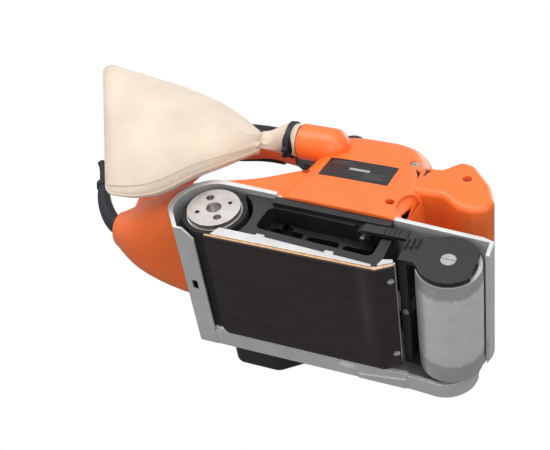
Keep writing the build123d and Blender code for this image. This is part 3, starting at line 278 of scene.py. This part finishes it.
def canvas_mat(name="canvas", col=(0.70, 0.585, 0.465)):
    k = Mat(name)
    uv = k.nt.nodes.new("ShaderNodeUVMap")
    uv.uv_map = "weave"
    sep = k.nt.nodes.new("ShaderNodeSeparateXYZ")
    k.link(uv.outputs[0], sep.inputs[0])
    u, v = sep.outputs[0], sep.outputs[1]
    wob = k.noise(k.mapping(), 220.0, 3.0, 0.6)
    uu = k.math("ADD", k.math("MULTIPLY", u, 2 * math.pi / 0.0012), k.math("MULTIPLY", wob, 2.0))
    vv = k.math("ADD", k.math("MULTIPLY", v, 2 * math.pi / 0.0012), k.math("MULTIPLY", wob, 2.0))
    weave = k.math("MULTIPLY", k.math("SINE", uu), k.math("SINE", vv))
    slub = k.noise(k.mapping((30.0, 30.0, 700.0)), 1.0, 4.0, 0.6)
    blot = k.noise(k.mapping(), 22.0, 5.0, 0.6)
    lo = tuple(c * 0.86 for c in col)
    hi = tuple(min(1.0, c * 1.06) for c in col)
    c1 = k.ramp(blot, [(0.3, lo), (0.7, hi)])
    k.color(k.mix(k.rng(weave, 0.0, 0.18, -1.0, 1.0), c1, tuple(c * 0.72 for c in col)))
    k.rough(k.rng(slub, 0.86, 0.98, 0.3, 0.7))
    k.b.inputs["Specular IOR Level"].default_value = 0.15
    k.b.inputs["Sheen Weight"].default_value = 0.25
    k.b.inputs["Sheen Roughness"].default_value = 0.6
    k.bump(k.math("ADD", k.math("MULTIPLY", weave, 0.5), slub), 0.55, 0.0005, 0.0)
    return k.m


def rubber_mat(name, col, rough=0.72, scale=1600.0, amt=0.25):
    k = Mat(name)
    n = k.noise(k.mapping(), scale, 3.0, 0.6)
    big = k.noise(k.mapping(), 40.0, 5.0, 0.6)
    k.color(k.ramp(big, [(0.3, tuple(c * 0.8 for c in col)), (0.7, tuple(c * 1.35 for c in col))]))
    k.rough(k.rng(big, rough - 0.08, rough + 0.12, 0.3, 0.7))
    k.b.inputs["Specular IOR Level"].default_value = 0.4
    k.bump(n, amt, 0.0003, 0.0005)
    return k.m


def copper_mat():
    k = Mat("copper")
    k.b.inputs["Metallic"].default_value = 1.0
    w = k.noise(k.mapping((2600.0, 60.0, 2600.0)), 1.0, 2.0, 0.5)
    k.color(k.ramp(w, [(0.3, (0.42, 0.14, 0.05)), (0.7, (0.78, 0.36, 0.16))]))
    k.rough(k.rng(w, 0.25, 0.5, 0.3, 0.7))
    k.bump(w, 0.5, 0.0003, 0.0003)
    return k.m


def plate_mat():
    """Blank dark plate with a pale empty field and faint unlettered rules."""
    k = Mat("plate_black")
    x, y, z = k.xyz()
    n = k.noise(k.mapping(), 1300.0, 2.0, 0.5)

    def inside(v, lo, hi):
        a = k.math("GREATER_THAN", v, lo)
        b = k.math("LESS_THAN", v, hi)
        return k.math("MULTIPLY", a, b)
    X0 = (55.0 + XS) / 1000
    field = k.math("MULTIPLY", inside(x, X0 + 0.0205, X0 + 0.037), inside(z, 0.1045, 0.1075))
    rules = None
    for i in range(4):
        zc = 0.0960 + i * 0.0022
        w = (0.017, 0.021, 0.013, 0.019)[i]
        r = k.math("MULTIPLY", inside(x, X0 + 0.0335, X0 + 0.0335 + w), inside(z, zc, zc + 0.0005))
        rules = r if rules is None else k.math("ADD", rules, r, True)
    for i in range(3):
        zc = 0.1110 + i * 0.0019
        w = (0.019, 0.012, 0.016)[i]
        r = k.math("MULTIPLY", inside(x, X0 + 0.004, X0 + 0.004 + w), inside(z, zc, zc + 0.0005))
        rules = k.math("ADD", rules, r, True)
    c = k.mix(k.math("MULTIPLY", rules, 0.5), (0.0075, 0.0075, 0.009), (0.16, 0.16, 0.17))
    k.color(k.mix(field, c, (0.32, 0.32, 0.33)))
    k.rough(k.rng(n, 0.30, 0.46, 0.3, 0.7))
    k.bump(n, 0.08, 0.0002, 0.0003)
    return k.m


ORANGE = (0.880, 0.155, 0.024)
mats = {
    "cast_aluminium": cast_metal(),
    "black_plastic": plastic("black_plastic", (0.0105, 0.0108, 0.0125), 0.42, 0.16, 0.12, 0.5),
    "orange_plastic": plastic("orange_plastic", ORANGE, 0.36, 0.10, 0.05, 0.5, 0.0009),
    "soft_grip": rubber_mat("soft_grip", (0.012, 0.012, 0.014), 0.68, 1100.0, 0.35),
    "plate_black": plate_mat(),
    "steel": brushed("steel", (0.56, 0.55, 0.54), 0.30, "y"),
    "zinc_steel": brushed("zinc_steel", (0.70, 0.70, 0.69), 0.34, "x", 0.12),
    "graphite": pad_cloth(),
    "cork": cork_mat(),
    "rubber_black": rubber_mat("rubber_black", (0.010, 0.010, 0.011), 0.75),
    "roller_alu": roller_metal(),
    "motor_steel": brushed("motor_steel", (0.30, 0.30, 0.31), 0.40, "x", 0.5),
    "copper": copper_mat(),
    "carbon": rubber_mat("carbon", (0.02, 0.02, 0.02), 0.6),
    "fan_plastic": plastic("fan_plastic", (0.42, 0.39, 0.33), 0.5),
    "sinter": brushed("sinter", (0.55, 0.36, 0.16), 0.45, "y"),
    "canvas": canvas_mat(),
    "cord_black": rubber_mat("cord_black", (0.010, 0.011, 0.019), 0.55, 1400.0, 0.15),
}
drum_disc = turned("drum_disc", (-4.0 + XS) / 1000, 0.029, (0.66, 0.63, 0.60), 0.32)
axle_steel = turned("axle_steel", (180.0 + XS) / 1000, 0.024, (0.50, 0.50, 0.49), 0.42)
mirror_slot = {s["node"]: s["material_slot"] for s in frame["record"]["subparts"]}

for name, o in nodes.items():
    m = mats[mirror_slot[name]]
    if name == "drum_core":
        m = drum_disc
    if name == "idler_axle":
        m = axle_steel
    o.data.materials.clear()
    o.data.materials.append(m)
    for p in o.data.polygons:
        p.use_smooth = True
    w = o.modifiers.new("weld", "WELD")
    w.merge_threshold = 0.000004
    e = o.modifiers.new("split", "EDGE_SPLIT")
    e.split_angle = math.radians(28.0)
    e.use_edge_sharp = False

# ------------------------------------------------------------------ dust bag
BAG = [  # top x,z  bottom x,z  centre y, half thickness, exponent
    (22.0, 147.4, 22.0, 120.6, -42.0, 13.4, 2.0),
    (9.5, 147.0, 10.5, 121.0, -42.0, 13.2, 2.0),
    (-4.5, 129.5, 3.5, 111.0, -48.5, 6.5, 2.0),
    (-16.0, 133.0, -5.5, 107.5, -52.0, 8.0, 2.0),
    (-32.3, 139.5, -10.9, 93.5, -57.0, 10.5, 2.1),
    (-53.3, 144.3, -19.2, 73.1, -63.0, 14.5, 2.2),
    (-84.5, 147.5, -33.2, 46.0, -69.0, 17.0, 2.2),
    (-111.5, 149.3, -46.2, 18.3, -73.0, 17.0, 2.2),
    (-136.3, 152.9, -60.7, 6.3, -75.0, 14.0, 2.3),
    (-158.6, 156.2, -75.8, 3.0, -76.0, 9.0, 2.4),
    (-166.0, 152.4, -83.5, 4.1, -76.0, 3.5, 2.4),
]


def catmull(rows, t):
    n = len(rows) - 1
    s = min(max(t * n, 0.0), n - 1e-9)
    i = int(s)
    f = s - i
    p0 = rows[max(i - 1, 0)]
    p1, p2 = rows[i], rows[i + 1]
    p3 = rows[min(i + 2, n)]
    return [0.5 * (2 * b + (c - a) * f + (2 * a - 5 * b + 4 * c - d) * f * f + (3 * b - a - 3 * c + d) * f ** 3)
            for a, b, c, d in zip(p0, p1, p2, p3)]


def build_bag():
    rings, cols = 74, 84
    bm = bmesh.new()
    uvl = bm.loops.layers.uv.new("weave")
    grid, uvs = [], []
    for i in range(rings):
        t = i / (rings - 1)
        tx, tz, bx, bz, yc, a, n = catmull(BAG, t)
        if i >= 4:
            a *= 0.97
        cx, cz = (tx + bx) / 2, (tz + bz) / 2
        hx, hz = (tx - bx) / 2, (tz - bz) / 2
        h = math.hypot(hx, hz)
        k_end = 1.0 - 0.055 * max(0.0, (t - 0.92) / 0.08) ** 2
        row, urow = [], []
        for j in range(cols):
            w = 2 * math.pi * j / cols
            c, s = math.cos(w), math.sin(w)
            u = math.copysign(abs(c) ** (2.0 / n), c) * a
            v = math.copysign(abs(s) ** (2.0 / n), s) * (h - 0.6) * k_end
            q = P(cx + hx / h * v, yc + u, cz + hz / h * v)
            row.append(bm.verts.new(q))
            urow.append((t * 0.21, w * (h + a) / 2000.0))
        grid.append(row)
        uvs.append(urow)
    for i in range(rings - 1):
        for j in range(cols):
            k = (j + 1) % cols
            f = bm.faces.new((grid[i][j], grid[i + 1][j], grid[i + 1][k], grid[i][k]))
            f.smooth = True
            w = uvs[i][j], uvs[i + 1][j], uvs[i + 1][j], uvs[i][j]
            du = 2 * math.pi / cols
            for q, loop in enumerate(f.loops):
                base = (uvs[i][j], uvs[i + 1][j], uvs[i + 1][k] if k else uvs[i + 1][j], uvs[i][k] if k else uvs[i][j])[q]
                loop[uvl].uv = base
    # closed flat end: join the two halves of the last ring
    last = grid[-1]
    for j in range(-cols // 4, cols // 4):
        a0, a1 = last[j % cols], last[(j + 1) % cols]
        b0, b1 = last[(cols // 2 - j) % cols], last[(cols // 2 - j - 1) % cols]
        try:
            if a1 is b1:
                f = bm.faces.new((a0, a1, b0))
            elif a0 is b0:
                f = bm.faces.new((a0, a1, b1))
            else:
                f = bm.faces.new((a0, a1, b1, b0))
            f.smooth = True
        except ValueError:
            pass
    bmesh.ops.recalc_face_normals(bm, faces=bm.faces)
    me = bpy.data.meshes.new("dust_bag_cloth")
    bm.to_mesh(me)
    bm.free()
    ob = bpy.data.objects.new("dust_bag_cloth", me)
    bpy.context.scene.collection.objects.link(ob)
    return ob, rings, cols


bag, RINGS, COLS = build_bag()
base_co = [v.co.copy() for v in bag.data.vertices]
# start from a slightly rumpled sheet so that the folds are the same every run
for v in bag.data.vertices:
    i = v.index // COLS
    t = i / (RINGS - 1)
    amp = 0.0024 * min(1.0, max(0.0, (t - 0.22) * 4))
    v.co += v.normal * noise.noise(v.co * 30.0 + Vector((3.1, 0.7, 5.0))) * amp * 2.4
    v.co += v.normal * noise.noise(v.co * 75.0 + Vector((1.1, 4.7, 2.0))) * amp * 0.8
    # gathers that run out from the neck
    w = 2 * math.pi * (v.index % COLS) / COLS
    if i < RINGS:
        g = math.exp(-((t - 0.32) / 0.15) ** 2) * min(1.0, max(0.0, (t - 0.17) * 9))
        v.co += v.normal * math.sin(w * 9 + 5 * t + 0.7 * math.sin(w * 3)) * 0.0017 * g
        # long soft folds towards the far end
        g2 = min(1.0, max(0.0, (t - 0.28) * 5)) * min(1.0, max(0.0, (1.0 - t) * 6))
        v.co += v.normal * math.sin(w * 5 + 2.6 * t + 1.6 * math.sin(w * 2 + 1.0)) * 0.0026 * g2
pin = bag.vertex_groups.new(name="pin")
pin.add([k for k in range(COLS * 15)], 1.0, "REPLACE")
pin.add([k for k in range(COLS * 15, COLS * 18)], 0.5, "REPLACE")
cl = bag.modifiers.new("cloth", "CLOTH")
st = cl.settings
st.quality = 6
st.mass = 0.25
st.tension_stiffness = 18
st.compression_stiffness = 18
st.shear_stiffness = 6
st.bending_stiffness = 0.35
st.tension_damping = 6
st.compression_damping = 6
st.shear_damping = 6
st.bending_damping = 0.6
st.air_damping = 2.0
st.vertex_group_mass = "pin"
st.shrink_min = -0.020
st.use_pressure = True
st.uniform_pressure_force = 1.2
st.effector_weights.gravity = 0.25
cl.collision_settings.use_collision = False
cl.collision_settings.use_self_collision = False
scn = bpy.context.scene
scn.gravity = (0.0, 0.0, -9.81)
scn.frame_start, scn.frame_end = 1, 24
cl.point_cache.frame_start, cl.point_cache.frame_end = 1, 24
for f in range(1, 23):
    scn.frame_set(f)
dg = bpy.context.evaluated_depsgraph_get()
settled = bpy.data.meshes.new_from_object(bag.evaluated_get(dg))
co = [v.co.copy() for v in settled.vertices]
bag.modifiers.remove(cl)
scn.frame_set(1)
moved = 0.0
for v in bag.data.vertices:
    if v.index < len(co) and v.index < len(base_co):
        d = co[v.index] - base_co[v.index]
        if d.length > 0.006:
            d *= 0.006 / d.length
        v.co = base_co[v.index] + d
        moved = max(moved, d.length)
print("bag moved", round(moved * 1000, 2), "mm")
bag.data.update()
sm = bag.modifiers.new("smooth", "SMOOTH")
sm.factor, sm.iterations = 0.5, 2
so = bag.modifiers.new("thick", "SOLIDIFY")
so.thickness, so.offset = 0.0009, -1.0
sb = bag.modifiers.new("sub", "SUBSURF")
sb.levels = sb.render_levels = 1
bag.data.materials.append(mats["canvas"])
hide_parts("dust_bag")
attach(bag, "bag_unit")

# seams: a folded hem down both long edges and across the far end
seam_mat = canvas_mat("canvas_seam", (0.60, 0.48, 0.37))


def tube(name, pts, r, mat, body, closed=False):
    cu = bpy.data.curves.new(name, "CURVE")
    cu.dimensions = "3D"
    cu.bevel_depth = r
    cu.bevel_resolution = 3
    sp = cu.splines.new("POLY")
    sp.points.add(len(pts) - 1)
    for q, p in zip(sp.points, pts):
        q.co = (*p, 1.0)
    sp.use_cyclic_u = closed
    tmp = bpy.data.objects.new(name + "_tmp", cu)
    bpy.context.scene.collection.objects.link(tmp)
    d2 = bpy.context.evaluated_depsgraph_get()
    me = bpy.data.meshes.new_from_object(tmp.evaluated_get(d2))
    bpy.data.objects.remove(tmp)
    me.name = name
    for p in me.polygons:
        p.use_smooth = True
    me.materials.clear()
    me.materials.append(mat)
    ob = bpy.data.objects.new(name, me)
    bpy.context.scene.collection.objects.link(ob)
    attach(ob, body)
    return ob


vs = bag.data.vertices
low = [vs[i * COLS + (3 * COLS) // 4].co.copy() for i in range(17, RINGS)]
top = [vs[i * COLS + COLS // 4].co.copy() for i in range(17, RINGS)]
tube("bag_hem", [p.copy() for p in low] + [p for p in reversed(top)], 0.0011, seam_mat, "bag_unit")
# row of stitches set in from the lower hem
st_pts = []
for i in range(20, RINGS - 3):
    a = vs[i * COLS + (3 * COLS) // 4 - 5].co
    st_pts.append(a + bag.data.vertices[i * COLS + (3 * COLS) // 4 - 5].normal * 0.0006)
bm = bmesh.new()
for a, b in zip(st_pts, st_pts[1:]):
    for s in (0.1, 0.6):
        p, q = a.lerp(b, s), a.lerp(b, s + 0.32)
        d = (q - p)
        mtx = Matrix.Translation((p + q) / 2) @ d.to_track_quat("Z", "Y").to_matrix().to_4x4()
        bmesh.ops.create_cone(bm, cap_ends=True, segments=6, radius1=0.0003, radius2=0.0003, depth=d.length, matrix=mtx)
me = bpy.data.meshes.new("bag_stitches")
bm.to_mesh(me)
bm.free()
me.materials.append(seam_mat)
stitches = bpy.data.objects.new("bag_stitches", me)
bpy.context.scene.collection.objects.link(stitches)
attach(stitches, "bag_unit")

# ------------------------------------------------------------------ camera
rv = Vector((0.752, 0.413, 0.039))
R = Quaternion(rv.normalized(), rv.length).to_matrix()
t = Vector((-0.070241, 0.042947, 0.86844))
F_PX, CX, CY = 1137.866, 305.884, 229.588
r0, r1, r2 = R[0].copy(), R[1].copy(), R[2].copy()
pos = -(R.transposed() @ t) + Vector((XS / 1000.0, 0, 0))
cam_data = bpy.data.cameras.new("camera")
cam = bpy.data.objects.new("camera", cam_data)
bpy.context.scene.collection.objects.link(cam)
cam.matrix_world = Matrix.Translation(pos) @ Matrix((
    (r0.x, -r1.x, -r2.x), (r0.y, -r1.y, -r2.y), (r0.z, -r1.z, -r2.z))).to_4x4()
cam_data.sensor_width = 36.0
cam_data.lens = F_PX * 36.0 / 550.0
cam_data.shift_x = (275.0 - CX) / 550.0
cam_data.shift_y = (CY - 225.0) / 550.0
cam_data.clip_start, cam_data.clip_end = 0.01, 20.0
scn.camera = cam

# ------------------------------------------------------------------ light
world = bpy.data.worlds.new("world")
scn.world = world
world.use_nodes = True
nt = world.node_tree
nt.nodes.clear()
wo = nt.nodes.new("ShaderNodeOutputWorld")
bg_cam = nt.nodes.new("ShaderNodeBackground")
bg_cam.inputs[0].default_value = (1, 1, 1, 1)
bg_cam.inputs[1].default_value = 1.0
bg_env = nt.nodes.new("ShaderNodeBackground")
lp = nt.nodes.new("ShaderNodeLightPath")
mixs = nt.nodes.new("ShaderNodeMixShader")
tcw = nt.nodes.new("ShaderNodeTexCoord")
dotn = nt.nodes.new("ShaderNodeVectorMath")
dotn.operation = "DOT_PRODUCT"
up = (-r1 * 0.9 - r0 * 0.35 - r2 * 0.2).normalized()
dotn.inputs[1].default_value = up
nt.links.new(tcw.outputs["Generated"], dotn.inputs[0])
wr = nt.nodes.new("ShaderNodeValToRGB")
mr = nt.nodes.new("ShaderNodeMapRange")
mr.inputs["From Min"].default_value = -1.0
nt.links.new(dotn.outputs["Value"], mr.inputs["Value"])
nt.links.new(mr.outputs[0], wr.inputs[0])
els = wr.color_ramp.elements
els[0].position, els[0].color = 0.0, (0.20, 0.20, 0.21, 1)
els[1].position, els[1].color = 1.0, (0.95, 0.95, 0.97, 1)
e = els.new(0.5)
e.color = (0.42, 0.42, 0.43, 1)
nt.links.new(wr.outputs[0], bg_env.inputs[0])
bg_env.inputs[1].default_value = 0.85
nt.links.new(lp.outputs["Is Camera Ray"], mixs.inputs[0])
nt.links.new(bg_env.outputs[0], mixs.inputs[1])
nt.links.new(bg_cam.outputs[0], mixs.inputs[2])
nt.links.new(mixs.outputs[0], wo.inputs[0])


def area(name, direction, dist, size, power, size_y=None, colour=(1, 1, 1)):
    d = direction.normalized()
    centre = Vector((0.0, -0.01, 0.07))
    li = bpy.data.lights.new(name, "AREA")
    li.shape = "RECTANGLE"
    li.size = size
    li.size_y = size_y or size
    li.energy = power
    li.color = colour
    ob = bpy.data.objects.new(name, li)
    bpy.context.scene.collection.objects.link(ob)
    ob.location = centre + d * dist
    ob.rotation_mode = "QUATERNION"
    ob.rotation_quaternion = (-d).to_track_quat("-Z", "Y")
    return ob


area("key", -r1 * 1.0 - r2 * 0.55 - r0 * 0.55, 1.1, 0.7, 6.5)
area("fill", -r2 * 0.9 + r0 * 0.8 - r1 * 0.1, 1.4, 0.9, 5.0)
area("front", -r2 * 1.0 - r0 * 0.3 + r1 * 0.3, 1.5, 0.8, 7.0)
area("rim", -r1 * 0.5 + r2 * 0.6 + r0 * 0.6, 1.2, 0.6, 5.0)
# narrow box that gives the roller its long highlights
area("strip", -r2 * 0.75 - r1 * 0.55 + r0 * 0.15, 1.0, 0.10, 3.0, 0.9)

scn.view_settings.view_transform = "Standard"
scn.view_settings.look = "None"
scn.view_settings.exposure = 0.0
